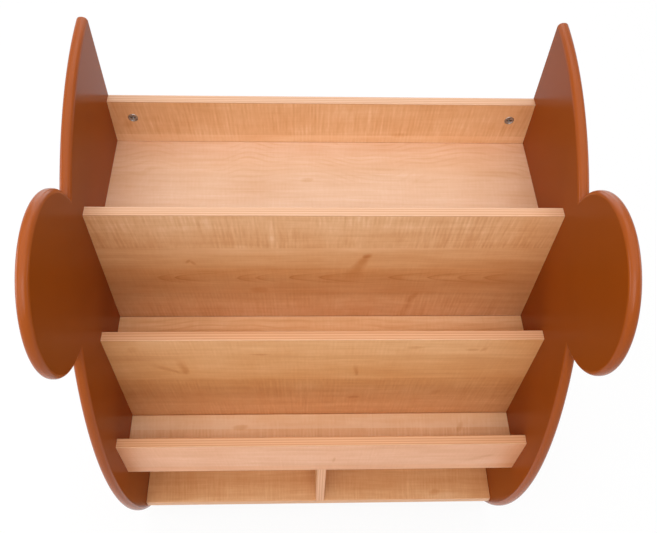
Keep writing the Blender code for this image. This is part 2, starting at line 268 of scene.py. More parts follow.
def mapleFace(name, look, along, low, high):
    material, wire, shader = startMaterial(name)
    u, v = boardAxes(wire, along)
    seed = look["seed"]
    if along == "z":
        uLow, uHigh = low.z, high.z
        vLow, vHigh = low.x + low.y, high.x + high.y
    else:
        uLow, uHigh = low.x, high.x
        vLow, vHigh = low.y + low.z, high.y + high.z
    up = v - vLow
    wave = grainNoise("wave", u, v, seed) - 0.5
    across = up / (vHigh - vLow) + wave * maple["seamWave"]
    plank = wire.node("ValToRGB", {"stops": plankStops(look["planks"])}, {0: across})
    plankTone, plankCurl, plankBlush = [plank.channel(index) for index in range(3)]

    # grain along the board: pores, wavy lines, broad drift and soft clouds
    pores = grainNoise("pores", u, v, seed) - 0.5
    sway = (grainNoise("sway", u, v, seed) - 0.5) * maple["lineSway"]
    lines = grainNoise("lines", u, v + sway, seed) - 0.5
    drift = grainNoise("drift", u, v, seed) - 0.5
    cloud = grainNoise("cloud", u, v, seed) - 0.5
    grain = pores * maple["pores"] + lines * maple["lines"] + drift * maple["drift"]
    tone = plankTone + maple["darkest"] + grain * look.get("grain", 1.0) + cloud * maple["cloud"]
    # painted shade: darker toward both ends of the board, where the side panels shade it
    fromMiddle = wire.math("ABSOLUTE", u - (uLow + uHigh) / 2) / ((uHigh - uLow) / 2)
    tone = tone - fromMiddle.ease(*maple["paintedEndShadeFrom"]) * maple["ends"]

    # curl: light and dark bars across the grain, in patches, strong in some planks
    slant = u - u * up * maple["curlSlant"]
    bend = grainNoise("bend", u, v, seed) * maple["curlBend"]
    comb = wire.math("SINE", slant * (2 * math.pi / maple["curlPeriod"]) + bend)
    dash = grainNoise("dash", u, v, seed).ease(*maple["dashCut"])
    streak = grainNoise("streak", slant, v, seed) - 0.5
    chatter = grainNoise("chatter", u, v, seed) - 0.5
    patch = grainNoise("patch", u, v, seed).ease(*maple["patchCut"])
    bands = grainNoise("bands", slant, v, seed) - 0.5
    gleam = grainNoise("gleam", slant, v, seed).ease(*maple["gleamCut"])
    curl = (streak * maple["streak"] + comb * dash * maple["comb"]) * patch * maple["curl"]
    curl = curl + bands * maple["bands"] + gleam * maple["gleam"]
    chatterShare = maple["plainChatter"] + plankCurl * (1 - maple["plainChatter"])
    tone = tone + curl * plankCurl + chatter * chatterShare * maple["chatter"]

    # rings: contour lines that swing to and fro where the cut runs flat along the log
    for ring in look.get("rings", []):
        swing = (grainNoise("swing", u * ring["slow"], v, seed) - 0.5) * ring["swing"]
        wave = wire.math("SINE", (v + swing) * (2 * math.pi / ring["period"]))
        broken = grainNoise("ringBreak", u, v, seed).ease(*maple["ringBreakCut"])
        line = wave.ease(*maple["ringCut"]) * broken
        inside = up.ease(ring["start"], ring["full"]) * (1.0 - up.ease(ring["fade"], ring["end"]))
        tone = tone - line * inside * (ring["strength"] * maple["rings"])

    # arches: nested tips along the middle of a flat-cut plank
    for arch in look.get("arches", []):
        offset = (up - arch["centre"]) / arch["half"]
        wobble = (grainNoise("wobble", u, v, seed) - 0.5) * maple["archWobble"]
        swept = u - offset * offset * arch["sweep"] + wobble
        stops = archStops(arch["tips"], uLow, uHigh)
        line = wire.node("ValToRGB", {"stops": stops}, {0: (swept - uLow) / (uHigh - uLow)}).channel(0)
        inside = 1.0 - wire.math("ABSOLUTE", offset).ease(0.0, 1.0)
        tone = tone - line * inside * (arch["strength"] * maple["arch"])

    # knots: soft dark smudges, or pale bars where the strength is below nought
    ragged = grainNoise("ragged", u, v, seed) - 0.5
    for uKnot, vKnot, length, width, lean, strength in look.get("knots", []):
        dv = up - vKnot
        du = (u - uKnot - dv * lean) / length
        dv = dv / width
        smudge = 1.0 - (du * du + dv * dv + ragged * maple["knotRagged"]).ease(*maple["knotCut"])
        tone = tone - smudge * (strength * maple["knot"])

    # flames: soft dark wedges that run from a knot, wider at the far end
    for flame in look.get("flames", []):
        (uTip, vTip), (uEnd, vEnd), (thin, wide) = flame["tip"], flame["end"], flame["widths"]
        du, dv = uEnd - uTip, vEnd - vTip
        reach = math.hypot(du, dv)
        run = ((u - uTip) * du + (up - vTip) * dv) / reach**2
        aside = ((u - uTip) * dv - (up - vTip) * du) / reach + ragged * flame["ragged"]
        spread = aside / (run * (wide - thin) + thin)
        side = 1.0 - wire.math("ABSOLUTE", spread).ease(*maple["flameSideCut"])
        body = side * run.ease(*maple["flameTipCut"])
        body = body * (1.0 - run.ease(*maple["flameTailCut"]))
        tone = tone - body * (flame["strength"] * maple["knot"])

    tint = plankBlush.blend(maple["amber"], maple["rose"])
    colour = wire.tint(grainColour(wire, look["colour"], tone), tint)
    rough = maple["roughness"] + pores * maple["poreRoughness"] + streak * maple["streakRoughness"]
    feed(wire, shader, Base_Color=colour)
    feed(wire, shader, Roughness=rough)
    feed(wire, shader, Normal=bump(wire, pores, *maple["poreBump"]))
    return material


# Edge band: paler, with a few long stripes across its width

band = {
    "thickness": 0.0016,
    "arris": 0.0012,
    "arrisSteps": 3,
    "smoothDegrees": 40,
    "endReach": 0.00025,  # the square-cut ends close up to the panels
    "stripe": 0.0043,  # from one stripe to the next
    "stripeDepth": 0.12,
    "wander": 7.0,
    "wanderDepth": 0.2,
    "fineDepth": 0.15,
    "roughness": 0.40,
    "fineRoughness": 0.1,
    "fineBump": (0.04, 0.0002),
}


def edgeBand(name, along, colour, seed):
    material, wire, shader = startMaterial(name)
    u, v = boardAxes(wire, along)
    wander = grainNoise("bandWander", u, v, seed)
    fine = grainNoise("bandFine", u, v, seed) - 0.5
    stripe = wire.math("SINE", v * (2 * math.pi / band["stripe"]) + wander * band["wander"])
    tone = stripe * band["stripeDepth"] + (wander - 0.5) * band["wanderDepth"] + fine * band["fineDepth"]
    feed(wire, shader, Base_Color=grainColour(wire, colour, tone))
    feed(wire, shader, Roughness=band["roughness"] + fine * band["fineRoughness"])
    feed(wire, shader, Normal=bump(wire, fine, *band["fineBump"]))
    return material


# Terracotta lacquer: faint mottling, orange peel and a satin shine, glossier on the rounded rim, whose
# paint is also made lighter as a painted highlight for the light the rim catches

lacquer = {
    "mottle": 4.0,
    "mottleDetail": 3.0,
    "mottleCut": (0.25, 0.75),
    "mottleRoughness": 0.08,
    "grit": 900.0,
    "gritDepth": 0.2,
    "gritRoughness": 0.04,
    "peel": 420.0,
    "peelBump": (0.12, 0.0003),
    "fineDetail": 1.0,  # of the grit and the peel
    "face": {
        "deep": (0.260, 0.0517, 0.0029, 1.0),
        "bright": (0.292, 0.0597, 0.0035, 1.0),
        "roughness": 0.24,
        "shine": 0.038,
    },
    # the rim is the face's paint made lighter, a painted highlight for the light the rounded rim
    # catches, and glossier
    "rim": {
        "deep": (0.308, 0.062, 0.0047, 1.0),
        "bright": (0.346, 0.072, 0.0061, 1.0),
        "roughness": 0.24,
        "shine": 0.18,
    },
}


def terracottaLacquer(name, look):
    material, wire, shader = startMaterial(name)
    place = objectPlace(wire)
    mottle = evenNoise(place, lacquer["mottle"], lacquer["mottleDetail"])
    grit = evenNoise(place, lacquer["grit"], lacquer["fineDetail"]) - 0.5
    peel = evenNoise(place, lacquer["peel"], lacquer["fineDetail"])
    depth = mottle.ease(*lacquer["mottleCut"]) + grit * lacquer["gritDepth"]
    rough = look["roughness"] + (mottle - 0.5) * lacquer["mottleRoughness"]
    rough = rough + grit * lacquer["gritRoughness"]
    feed(wire, shader, Base_Color=depth.blend(look["deep"], look["bright"]))
    feed(wire, shader, Roughness=rough)
    feed(wire, shader, Normal=bump(wire, peel, *lacquer["peelBump"]))
    shader.inputs["Specular IOR Level"].default_value = look["shine"]
    return material


# Metal fittings and beech dowels

metal = {
    "grit": 1500.0,
    "gritShare": 0.4,
    "gritRoughness": 0.25,
    "gritBump": (0.2, 0.0001),
    "swirl": 240.0,
    "detail": 2.0,
    "paleCut": (0.3, 0.7),
    "zinc": {"dark": (0.27, 0.265, 0.26, 1.0), "pale": (0.52, 0.515, 0.51, 1.0), "roughness": 0.36},
    "steel": {"dark": (0.48, 0.48, 0.50, 1.0), "pale": (0.68, 0.68, 0.70, 1.0), "roughness": 0.28},
}


def castMetal(name, look):
    material, wire, shader = startMaterial(name)
    place = objectPlace(wire)
    grit = evenNoise(place, metal["grit"], metal["detail"])
    swirl = evenNoise(place, metal["swirl"], metal["detail"])
    depth = swirl * (1 - metal["gritShare"]) + grit * metal["gritShare"]
    feed(wire, shader, Base_Color=depth.ease(*metal["paleCut"]).blend(look["dark"], look["pale"]))
    feed(wire, shader, Roughness=look["roughness"] + (grit - 0.5) * metal["gritRoughness"])
    feed(wire, shader, Normal=bump(wire, grit, *metal["gritBump"]))
    shader.inputs["Metallic"].default_value = 1.0
    return material


beech = {
    "seed": 3.0,
    "dark": (0.420, 0.230, 0.110, 1.0),
    "pale": (0.640, 0.420, 0.240, 1.0),
    "paleCut": (0.3, 0.7),
    "roughness": 0.55,
    "fleckRoughness": 0.2,
    "fleckBump": (0.2, 0.0002),
}


def beechWood(name, along):
    material, wire, shader = startMaterial(name)
    u, v = boardAxes(wire, along)
    fleck = grainNoise("fleck", u, v, beech["seed"])
    feed(wire, shader, Base_Color=fleck.ease(*beech["paleCut"]).blend(beech["dark"], beech["pale"]))
    feed(wire, shader, Roughness=beech["roughness"] + fleck * beech["fleckRoughness"])
    feed(wire, shader, Normal=bump(wire, fleck, *beech["fleckBump"]))
    return material


faceLacquer = terracottaLacquer("terracotta lacquer face", lacquer["face"])
rimLacquerPaintedLighter = terracottaLacquer("terracotta lacquer rim, painted lighter", lacquer["rim"])
zinc = castMetal("zinc cam", metal["zinc"])
steel = castMetal("steel fastener", metal["steel"])
beechLevel = beechWood("beech dowel level", "x")
beechUpright = beechWood("beech dowel upright", "z")
print("shared materials made")


# Modelling by hand: start from a primitive, work on the active object

def deselect():
    bpy.ops.object.select_all(action="DESELECT")


def applyPlace():
    bpy.ops.object.transform_apply(location=True, rotation=True, scale=True)


def take(obj):
    deselect()
    obj.select_set(True)
    bpy.context.view_layer.objects.active = obj


def editAll():
    bpy.ops.object.mode_set(mode="EDIT")
    bpy.ops.mesh.select_all(action="SELECT")


def selectParts(obj, kind, test):
    bpy.ops.object.mode_set(mode="EDIT")
    bpy.ops.mesh.select_mode(type=kind)
    bpy.ops.mesh.select_all(action="DESELECT")
    bpy.ops.object.mode_set(mode="OBJECT")
    parts = {"FACE": obj.data.polygons, "EDGE": obj.data.edges, "VERT": obj.data.vertices}[kind]
    for part in parts:
        part.select = test(part)
    bpy.ops.object.mode_set(mode="EDIT")


def editDone():
    bpy.ops.object.mode_set(mode="OBJECT")


def addCylinder(radius, low, high, axis, sides):
    deselect()
    turns = {0: (0, math.pi / 2, 0), 1: (-math.pi / 2, 0, 0), 2: (0, 0, 0)}
    middle = (Vector(low) + Vector(high)) / 2
    depth = (Vector(high) - Vector(low))[axis]
    bpy.ops.mesh.primitive_cylinder_add(
        vertices=sides, radius=radius, depth=depth, location=middle, rotation=turns[axis]
    )
    applyPlace()
    return bpy.context.object


def addBlock(size, middle):
    deselect()
    bpy.ops.mesh.primitive_cube_add(size=1, location=middle)
    obj = bpy.context.object
    obj.scale = size
    applyPlace()
    return obj


def joinAll(objs):
    deselect()
    for obj in objs:
        obj.select_set(True)
    bpy.context.view_layer.objects.active = objs[0]
    bpy.ops.object.join()
    return objs[0]


def combine(obj, other, operation):
    take(obj)
    step = obj.modifiers.new("join", "BOOLEAN")
    step.operation = operation
    step.solver = "EXACT"
    step.object = other
    bpy.ops.object.modifier_apply(modifier=step.name)
    bpy.data.objects.remove(other)
    editAll()
    bpy.ops.mesh.remove_doubles(threshold=sliver)
    bpy.ops.mesh.dissolve_degenerate(threshold=sliver)
    editDone()


def roundOff(obj, width, steps, degrees):
    take(obj)
    step = obj.modifiers.new("arris", "BEVEL")
    step.width = width
    step.segments = steps
    step.limit_method = "ANGLE"
    step.angle_limit = math.radians(degrees)
    bpy.ops.object.modifier_apply(modifier=step.name)


def smoothOff(obj, degrees):
    take(obj)
    bpy.ops.object.shade_smooth_by_angle(angle=math.radians(degrees))
    step = obj.modifiers.new("weights", "WEIGHTED_NORMAL")
    step.keep_sharp = True
    bpy.ops.object.modifier_apply(modifier=step.name)


def handOver(obj, node):
    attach(obj, "root")
    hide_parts(node)


# Fittings as the frame has them: a long axis, and for a cam the face that it shows on

def axisOf(node):
    low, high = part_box(node)
    size = high - low
    lengths = [size.x, size.y, size.z]
    if "_cam_" in node:
        return lengths.index(min(lengths))
    return lengths.index(max(lengths))


def overlaps(first, second):
    lowA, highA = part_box(first)
    lowB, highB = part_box(second)
    return all(lowA[i] < highB[i] and lowB[i] < highA[i] for i in range(3))


fittingKinds = ("_cam_", "_bolt_", "_dowel", "_screw")
fittings = [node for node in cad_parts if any(kind in node for kind in fittingKinds)]
threadRadius = 0.003  # of a cam bolt, in the panel
housingSides = 32
boreSides = 20


def drill(obj, node, kinds, sides):
    cutters = []
    for fitting in fittings:
        if not any(kind in fitting for kind in kinds) or not overlaps(fitting, node):
            continue
        low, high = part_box(fitting)
        axis = axisOf(fitting)
        across = (axis + 1) % 3
        radius = (high - low)[across] / 2
        if "_bolt_" in fitting and "panel" in node:
            radius = threadRadius
        reach = Vector((0, 0, 0))
        reach[axis] = clearance
        cutters.append(addCylinder(radius + clearance, low - reach, high + reach, axis, sides))
    if cutters:
        combine(obj, joinAll(cutters), "DIFFERENCE")


# Side panels: half an ellipse on the back edge, with a round lobe at the upper front

panel = {
    "ellipseDepth": 0.486,
    "ellipseHeight": 0.5361,
    "lobeRadius": 0.118,
    "lobeSetback": 0.114,
    "lobeDrop": 0.119,
    "edgeRound": 0.007,
    "roundSteps": 10,
    "ellipseSides": 420,
    "lobeSides": 180,
    "weld": 0.00002,
    "flatAngle": 0.002,
    "smoothDegrees": 40,
}


def dressPanel(node):
    low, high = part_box(node)
    middleX = (low.x + high.x) / 2
    thickness = high.x - low.x
    back = high.y
    centreZ = high.z - panel["ellipseHeight"]
    deselect()
    bpy.ops.mesh.primitive_cylinder_add(
        vertices=panel["ellipseSides"], radius=1, depth=1,
        location=(middleX, back, centreZ), rotation=(0, math.pi / 2, 0),
    )
    obj = bpy.context.object
    obj.name = node + "_lacquered"
    obj.scale = (panel["ellipseHeight"], panel["ellipseDepth"], thickness)
    applyPlace()
    for point, outward in (((0, back, 0), (0, 1, 0)), ((0, 0, low.z), (0, 0, -1))):
        editAll()
        bpy.ops.mesh.bisect(plane_co=point, plane_no=outward, use_fill=True, clear_outer=True)
        editDone()

    lobeY = back - panel["ellipseDepth"] + panel["lobeSetback"]
    lobeZ = high.z - panel["lobeDrop"]
    lobe = addCylinder(
        panel["lobeRadius"], (low.x, lobeY, lobeZ), (high.x, lobeY, lobeZ), 0, panel["lobeSides"]
    )
    combine(obj, lobe, "UNION")
    editAll()
    bpy.ops.mesh.remove_doubles(threshold=panel["weld"])
    bpy.ops.mesh.dissolve_limited(angle_limit=panel["flatAngle"])
    editDone()

    points = obj.data.vertices

    def isRim(edge):
        a = points[edge.vertices[0]].co
        b = points[edge.vertices[1]].co
        across = abs(a.x - b.x) > near
        atBack = min(a.y, b.y) > back - near
        atFoot = max(a.z, b.z) < low.z + near
        return not (across or atBack or atFoot)

    selectParts(obj, "EDGE", isRim)
    bpy.ops.mesh.bevel(
        offset=panel["edgeRound"], segments=panel["roundSteps"], profile=0.5, affect="EDGES"
    )
    editDone()
    drill(obj, node, ("_bolt_", "_dowel"), boreSides)
    obj.data.materials.clear()
    obj.data.materials.append(faceLacquer)
    obj.data.materials.append(rimLacquerPaintedLighter)
    # faces on the rounded rim take the lighter lacquer, its lightness a painted highlight
    for face in obj.data.polygons:
        onRim = low.x + near < face.center.x < high.x - near
        face.material_index = 1 if onRim else 0
    smoothOff(obj, panel["smoothDegrees"])
    handOver(obj, node)
    return obj


for side in ("left", "right"):
    dressed = dressPanel(side + "_side_panel")
    print(dressed.name, len(dressed.data.polygons), "faces")


# Boards: eased arrises, a banded pair of long edges, housings for the cams and bores for the pins

def dressBoard(node, look):
    low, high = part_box(node)
    along = look.get("along", "x")
    length = "xyz".index(along)
    reach = Vector((0, 0, 0))
    reach[length] = band["endReach"]
    obj = addBlock(high - low + reach * 2, (low + high) / 2)
    obj.name = node + "_maple"
    points = obj.data.vertices

    def isArris(edge):
        run = points[edge.vertices[0]].co - points[edge.vertices[1]].co
        return look.get("easedEnds", False) or abs(run[length]) > near

    selectParts(obj, "EDGE", isArris)
    bpy.ops.mesh.bevel(offset=band["arris"], segments=band["arrisSteps"], profile=0.5, affect="EDGES")
    editDone()

    edgeAxis = look["edgeAxis"]
    ends = (low[edgeAxis] + band["thickness"], high[edgeAxis] - band["thickness"])
    outward = Vector((0, 0, 0))
    outward[edgeAxis] = 1
    for end in ends:
        editAll()
        bpy.ops.mesh.bisect(plane_co=outward * end, plane_no=outward)
        editDone()
    drill(obj, node, ("_cam_",), housingSides)
    drill(obj, node, ("_bolt_", "_dowel", "_screw"), boreSides)

    label = node.replace("_", " ")
    obj.data.materials.clear()
    obj.data.materials.append(mapleFace("maple laminate " + label, look, along, low, high))
    obj.data.materials.append(edgeBand("edge band " + label, along, look["band"], look["seed"]))
    for face in obj.data.polygons:
        banded = not ends[0] < face.center[edgeAxis] < ends[1]
        face.material_index = 1 if banded else 0
    smoothOff(obj, band["smoothDegrees"])
    handOver(obj, node)
    print(obj.name, len(obj.data.polygons), "faces")


# A plank is its start across the board, its tone there and at its other side, its curl and its blush
# A knot is its place along and across the board, its length, width, slant and strength

# Each board's colour and band colour are partly painted light: the boards share one laminate, and each
# is set paler where the light falls full on it and deeper where it falls less
backRail = {
    "edgeAxis": 2,
    "colour": (0.800, 0.469, 0.244),
    "band": (0.620, 0.335, 0.180),
    "seed": 11.0,
    "grain": 0.5,
    "planks": [
        (0.0, 0.04, 0.04, 0.3, 0.4, 0.5),
        (0.32, -0.05, -0.05, 0.75, 0.65, 0.15),
    ],
    "knots": [
        (0.126, 0.040, 0.016, 0.006, 0.6, 0.4),
        (-0.308, 0.060, 0.010, 0.010, 0.3, 0.3),
        (0.074, 0.072, 0.003, 0.034, 0.0, -0.3),
    ],
}
dressBoard("back_rail", backRail)

upperBoard = {
    "edgeAxis": 2,
    "colour": (0.696, 0.337, 0.140),
    "band": (0.650, 0.350, 0.190),
    "seed": 23.0,
    "planks": [
        (0.0, 0.13, -0.1, 0.6, 1.0, 0.9),
        (0.31, -0.07, -0.08, 0.25, 0.6, 0.0),
        (0.53, -0.04, 0.09, 0.1, 0.2, 0.25),
        (0.7, 0.02, 0.13, 1.0, 0.25, 0.35),
        (0.962, 0.1, 0.1, 0.3, 0.7, 0.7),
    ],
    "arches": [
        {
            "centre": 0.131,
            "half": 0.024,
            "sweep": 0.22,
            "strength": 1.0,
            "tips": [-0.228, -0.055, -0.009, 0.102, 0.163],
        },
        {
            "centre": 0.130,
            "half": 0.022,
            "sweep": 0.11,
            "strength": 0.8,
            "tips": [-0.253, -0.133, -0.103, 0.211, 0.252],
        },
    ],
    "knots": [
        (0.062, 0.183, 0.008, 0.005, 0.6, 0.6),
        (-0.203, 0.171, 0.004, 0.006, 0.5, 0.7),
        (-0.196, 0.168, 0.004, 0.007, -0.5, 0.5),
        (0.141, 0.076, 0.008, 0.014, 0.5, 0.6),
        (-0.101, 0.098, 0.016, 0.010, 0.0, 0.4),
        (-0.077, 0.226, 0.004, 0.030, 0.0, -0.3),
    ],
    "flames": [
        {
            "tip": (0.064, 0.188), "end": (0.034, 0.118), "widths": (0.007, 0.022),
            "ragged": 0.012, "strength": 0.7,
        },
        {
            "tip": (0.142, 0.070), "end": (0.128, 0.010), "widths": (0.006, 0.012),
            "ragged": 0.006, "strength": 0.4,
        },
    ],
}
dressBoard("upper_display_board", upperBoard)

lowerBoard = {
    "edgeAxis": 2,
    "colour": (0.716, 0.355, 0.142),
    "band": (0.680, 0.345, 0.170),
    "seed": 37.0,
    "planks": [
        (0.0, -0.01, -0.06, 0.6, 1.0, 0.0),
        (0.53, 0.02, -0.01, 0.2, 0.0, 0.25),
        (0.79, 0.04, 0.04, 0.3, 0.15, 0.05),
    ],
    "knots": [
        (-0.291, 0.247, 0.010, 0.010, 0.4, 0.3),
        (-0.099, 0.232, 0.016, 0.004, 0.0, 0.6),
        (0.138, 0.250, 0.018, 0.005, 0.3, 0.5),
        (0.228, 0.243, 0.012, 0.005, 0.2, 0.5),
        (0.246, 0.244, 0.005, 0.008, 0.4, 0.5),
        (0.053, 0.087, 0.012, 0.006, 0.3, 0.6),
        (0.191, 0.103, 0.010, 0.010, 0.5, 0.4),
    ],
    "flames": [
        {
            "tip": (-0.218, 0.172), "end": (-0.226, 0.222), "widths": (0.007, 0.010),
            "ragged": 0.008, "strength": 0.6,
        },
        {
            "tip": (-0.228, 0.176), "end": (-0.276, 0.206), "widths": (0.005, 0.009),
            "ragged": 0.010, "strength": 0.5,
        },
        {
            "tip": (0.054, 0.164), "end": (0.050, 0.204), "widths": (0.004, 0.006),
            "ragged": 0.004, "strength": 0.6,
        },
    ],
}
dressBoard("lower_display_board", lowerBoard)

frontLip = {
    "edgeAxis": 2,
    "colour": (0.814, 0.391, 0.202),
    "band": (0.655, 0.325, 0.155),
    "seed": 41.0,
    "grain": 0.85,
    "planks": [
        (0.0, -0.09, -0.06, 0.2, 0.3, 0.3),
        (0.18, 0.0, 0.01, 0.2, 0.65, 0.35),
    ],
    "knots": [(0.019, 0.044, 0.003, 0.014, 0.1, 0.5)],
    "flames": [
        {
            "tip": (0.285, 0.060), "end": (0.235, 0.030), "widths": (0.006, 0.010),
            "ragged": 0.010, "strength": 0.35,
        },
    ],
}
dressBoard("front_lip", frontLip)

topShelf = {
    "edgeAxis": 1,
    "colour": (0.741, 0.453, 0.288),
    "band": (0.650, 0.350, 0.190),
    "seed": 53.0,
    "grain": 0.75,
    "planks": [
        (0.0, 0.02, 0.02, 0.1, 0.5, 0.5),
        (0.34, -0.02, -0.05, 0.15, 0.5, 0.6),
        (0.66, -0.04, 0.06, 0.1, 0.6, 0.1),
    ],
    "rings": [
        {
            "period": 0.0125, "slow": 5.0, "swing": 0.16, "strength": 0.65,
            "start": 0.120, "full": 0.165, "fade": 0.230, "end": 0.240,
        },
        {
            "period": 0.0090, "slow": 2.0, "swing": 0.05, "strength": 0.35,
            "start": 0.0, "full": 0.03, "fade": 0.100, "end": 0.150,
        },
    ],
    "knots": [(-0.026, 0.143, 0.012, 0.006, 0.3, 0.4), (-0.110, 0.118, 0.040, 0.002, 6.0, 0.2)],
}
dressBoard("top_shelf", topShelf)

middleShelf = {
    "edgeAxis": 1,
    "colour": (0.829, 0.470, 0.228),
    "band": (0.690, 0.370, 0.195),
    "seed": 67.0,
    "planks": [
        (0.0, -0.02, 0.0, 0.2, 0.4, 0.4),
        (0.55, -0.02, 0.04, 0.2, 0.15, 0.6),
    ],
    "rings": [
        {
            "period": 0.0110, "slow": 4.0, "swing": 0.10, "strength": 1.0,
            "start": -0.02, "full": 0.0, "fade": 0.080, "end": 0.100,
        }
    ],
}
dressBoard("middle_shelf", middleShelf)

lowerShelf = {
    "edgeAxis": 1,
    "colour": (0.841, 0.538, 0.307),
    "band": (0.690, 0.370, 0.195),
    "seed": 71.0,
    "grain": 0.4,
    "planks": [
        (0.0, -0.01, -0.01, 0.55, 0.35, 0.35),
        (0.7, 0.07, -0.04, 0.2, 0.6, 0.5),
    ],
    "knots": [(0.245, 0.068, 0.006, 0.012, 0.4, 0.4), (-0.143, 0.070, 0.016, 0.006, 0.3, 0.4)],
}
dressBoard("lower_shelf", lowerShelf)

bottomShelf = {
    "edgeAxis": 1,
    "easedEnds": True,
    "colour": (0.675, 0.334, 0.145),
    "band": (0.730, 0.378, 0.182),
    "seed": 83.0,
    "planks": [
        # painted shadow: the first planks, the strip of floor seen in the cubbies, darken toward the
        # back, in the shade under the front lip
        (0.0, 0.1, 0.1, 1.0, 0.3, 0.3),
        (0.04, 0.06, -0.12, 0.6, 0.45, 0.45),
        (0.13, -0.09, -0.05, 0.5, 0.4, 0.4),
        (0.45, -0.04, -0.04, 0.5, 0.4, 0.4),
        (0.75, 0.0, 0.0, 0.7, 0.4, 0.4),
    ],
    "knots": [(0.223, 0.030, 0.012, 0.008, 0.4, 0.5)],
}
dressBoard("bottom_shelf", bottomShelf)

cubbyDivider = {
    "edgeAxis": 1,
    "along": "z",
    "colour": (0.730, 0.390, 0.180),
    "band": (0.740, 0.340, 0.150),
    "seed": 97.0,
    "planks": [
        (0.0, 0.0, 0.02, 0.5, 0.5, 0.5),
        (0.35, -0.04, -0.02, 0.4, 0.4, 0.4),
        (0.7, 0.0, 0.01, 0.6, 0.5, 0.5),
    ],
}
dressBoard("cubby_divider", cubbyDivider)


# Fittings, each modelled once up the Z axis and copied to its places

def turnUp(name, rings, sides):
    # rings are (radius, height) pairs, drawn up from a filled circle
    deselect()
    radius, height = rings[0]
    bpy.ops.mesh.primitive_circle_add(
        vertices=sides, radius=radius, fill_type="NGON", location=(0, 0, height)
    )
    obj = bpy.context.object
    obj.name = name
    applyPlace()
    editAll()
    for nextRadius, nextHeight in rings[1:]:
        rise = (0, 0, nextHeight - height)
        bpy.ops.mesh.extrude_region_move(TRANSFORM_OT_translate={"value": rise})
        bpy.ops.transform.resize(value=(nextRadius / radius, nextRadius / radius, 1))
        radius, height = nextRadius, nextHeight
    bpy.ops.mesh.select_all(action="SELECT")
    bpy.ops.mesh.normals_make_consistent(inside=False)
    editDone()
    return obj


threadCrest = (0.4, 0.6)  # where the crest begins and ends in each turn


def threadRings(low, high, outer, root, pitch):
    rings = []
    for turn in range(int((high - low) / pitch)):
        start = low + turn * pitch
        rings += [(root, start)] + [(outer, start + pitch * share) for share in threadCrest]
    return rings + [(root, high)]


cam = {
    "radius": 0.0075,
    "height": 0.012,
    "chamfer": 0.0005,
    "rim": 0.0008,
    "dish": 0.0006,
    "crossLength": 0.0088,
    "crossWidth": 0.0018,
    "crossDepth": 0.0030,
    "notch": 0.0009,
    "notchDepth": 0.0004,
    "pinBore": 0.0028,
    "pinDepth": 0.008,
    "pinPast": 0.0026,
    "sides": 48,
    "notchSides": 3,
    "boreSides": 24,
    "smoothDegrees": 35,
}


def makeCam():
    radius, chamfer, dish = cam["radius"], cam["chamfer"], cam["dish"]
    inner = radius - chamfer - cam["rim"]
    rings = [(radius - chamfer, -cam["height"]), (radius, chamfer - cam["height"]), (radius, -chamfer)]
    rings += [(radius - chamfer, 0.0), (inner, 0.0), (inner - dish / 2, -dish)]
    obj = turnUp("cam", rings, cam["sides"])
    depth = 2 * cam["crossDepth"]
    middle = (0, 0, -dish)
    cross = addBlock((cam["crossLength"], cam["crossWidth"], depth), middle)
    combine(cross, addBlock((cam["crossWidth"], cam["crossLength"], depth), middle), "UNION")
    combine(obj, cross, "DIFFERENCE")
    # a notch in the rim points at the bolt
    depth = cam["notchDepth"]
    notch = addCylinder(cam["notch"], (inner, 0, -depth), (inner, 0, depth), 2, cam["notchSides"])
    combine(obj, notch, "DIFFERENCE")
    low = Vector((-cam["pinPast"], 0, -cam["pinDepth"]))
    bore = addCylinder(cam["pinBore"], low, low + Vector((2 * radius, 0, 0)), 0, cam["boreSides"])
    combine(obj, bore, "DIFFERENCE")
    obj.data.materials.append(zinc)
    smoothOff(obj, cam["smoothDegrees"])
    return obj


bolt = {
    "tip": 0.0012,
    "threadLow": 0.0008,
    "threadHigh": 0.0107,
    "threadRadius": 0.0029,
    "threadRoot": 0.0023,
    "pitch": 0.0018,
    "collar": 0.0035,
    "collarLow": 0.0110,
    "collarHigh": 0.0130,
    "shaft": 0.0030,
    "shaftLow": 0.0134,
    "shaftHigh": 0.0363,
    "neck": 0.0018,
    "neckLow": 0.0369,
    "neckHigh": 0.0430,
    "head": 0.0025,
    "headLow": 0.0436,
    "headHigh": 0.0457,
    "crown": 0.0015,
    "length": 0.0467,
    "sides": 24,
    "smoothDegrees": 30,
}


def makeBolt():
    rings = [(bolt["tip"], 0.0)]
    rings += threadRings(
        bolt["threadLow"], bolt["threadHigh"], bolt["threadRadius"], bolt["threadRoot"], bolt["pitch"]
    )
    for part in ("collar", "shaft", "neck", "head"):
        rings += [(bolt[part], bolt[part + "Low"]), (bolt[part], bolt[part + "High"])]
    rings += [(bolt["crown"], bolt["length"])]
    obj = turnUp("bolt", rings, bolt["sides"])
    obj.data.materials.append(steel)
    smoothOff(obj, bolt["smoothDegrees"])
    return obj


dowel = {
    "radius": 0.004,
    "length": 0.030,
    "chamfer": 0.001,
    "flutes": 14,
    "fluteScale": 0.88,  # a flute's floor as a share of the radius
    "arris": 0.0002,
    "arrisSteps": 2,
    "arrisDegrees": 60,
    "smoothDegrees": 25,
}


def makeDowel():
    end = dowel["length"] / 2
    narrow = dowel["radius"] - dowel["chamfer"]
    shoulder = end - dowel["chamfer"]
    rings = [(narrow, -end), (dowel["radius"], -shoulder), (dowel["radius"], shoulder), (narrow, end)]
    obj = turnUp("dowel", rings, 2 * dowel["flutes"])

    def inFlute(point):
        turn = math.atan2(point.co.x, point.co.y) / (2 * math.pi) * 2 * dowel["flutes"]
        return round(turn) % 2 == 1 and abs(point.co.z) < shoulder + near

    selectParts(obj, "VERT", inFlute)
    bpy.ops.transform.resize(value=(dowel["fluteScale"], dowel["fluteScale"], 1))
    editDone()
    roundOff(obj, dowel["arris"], dowel["arrisSteps"], dowel["arrisDegrees"])
    smoothOff(obj, dowel["smoothDegrees"])
    return obj


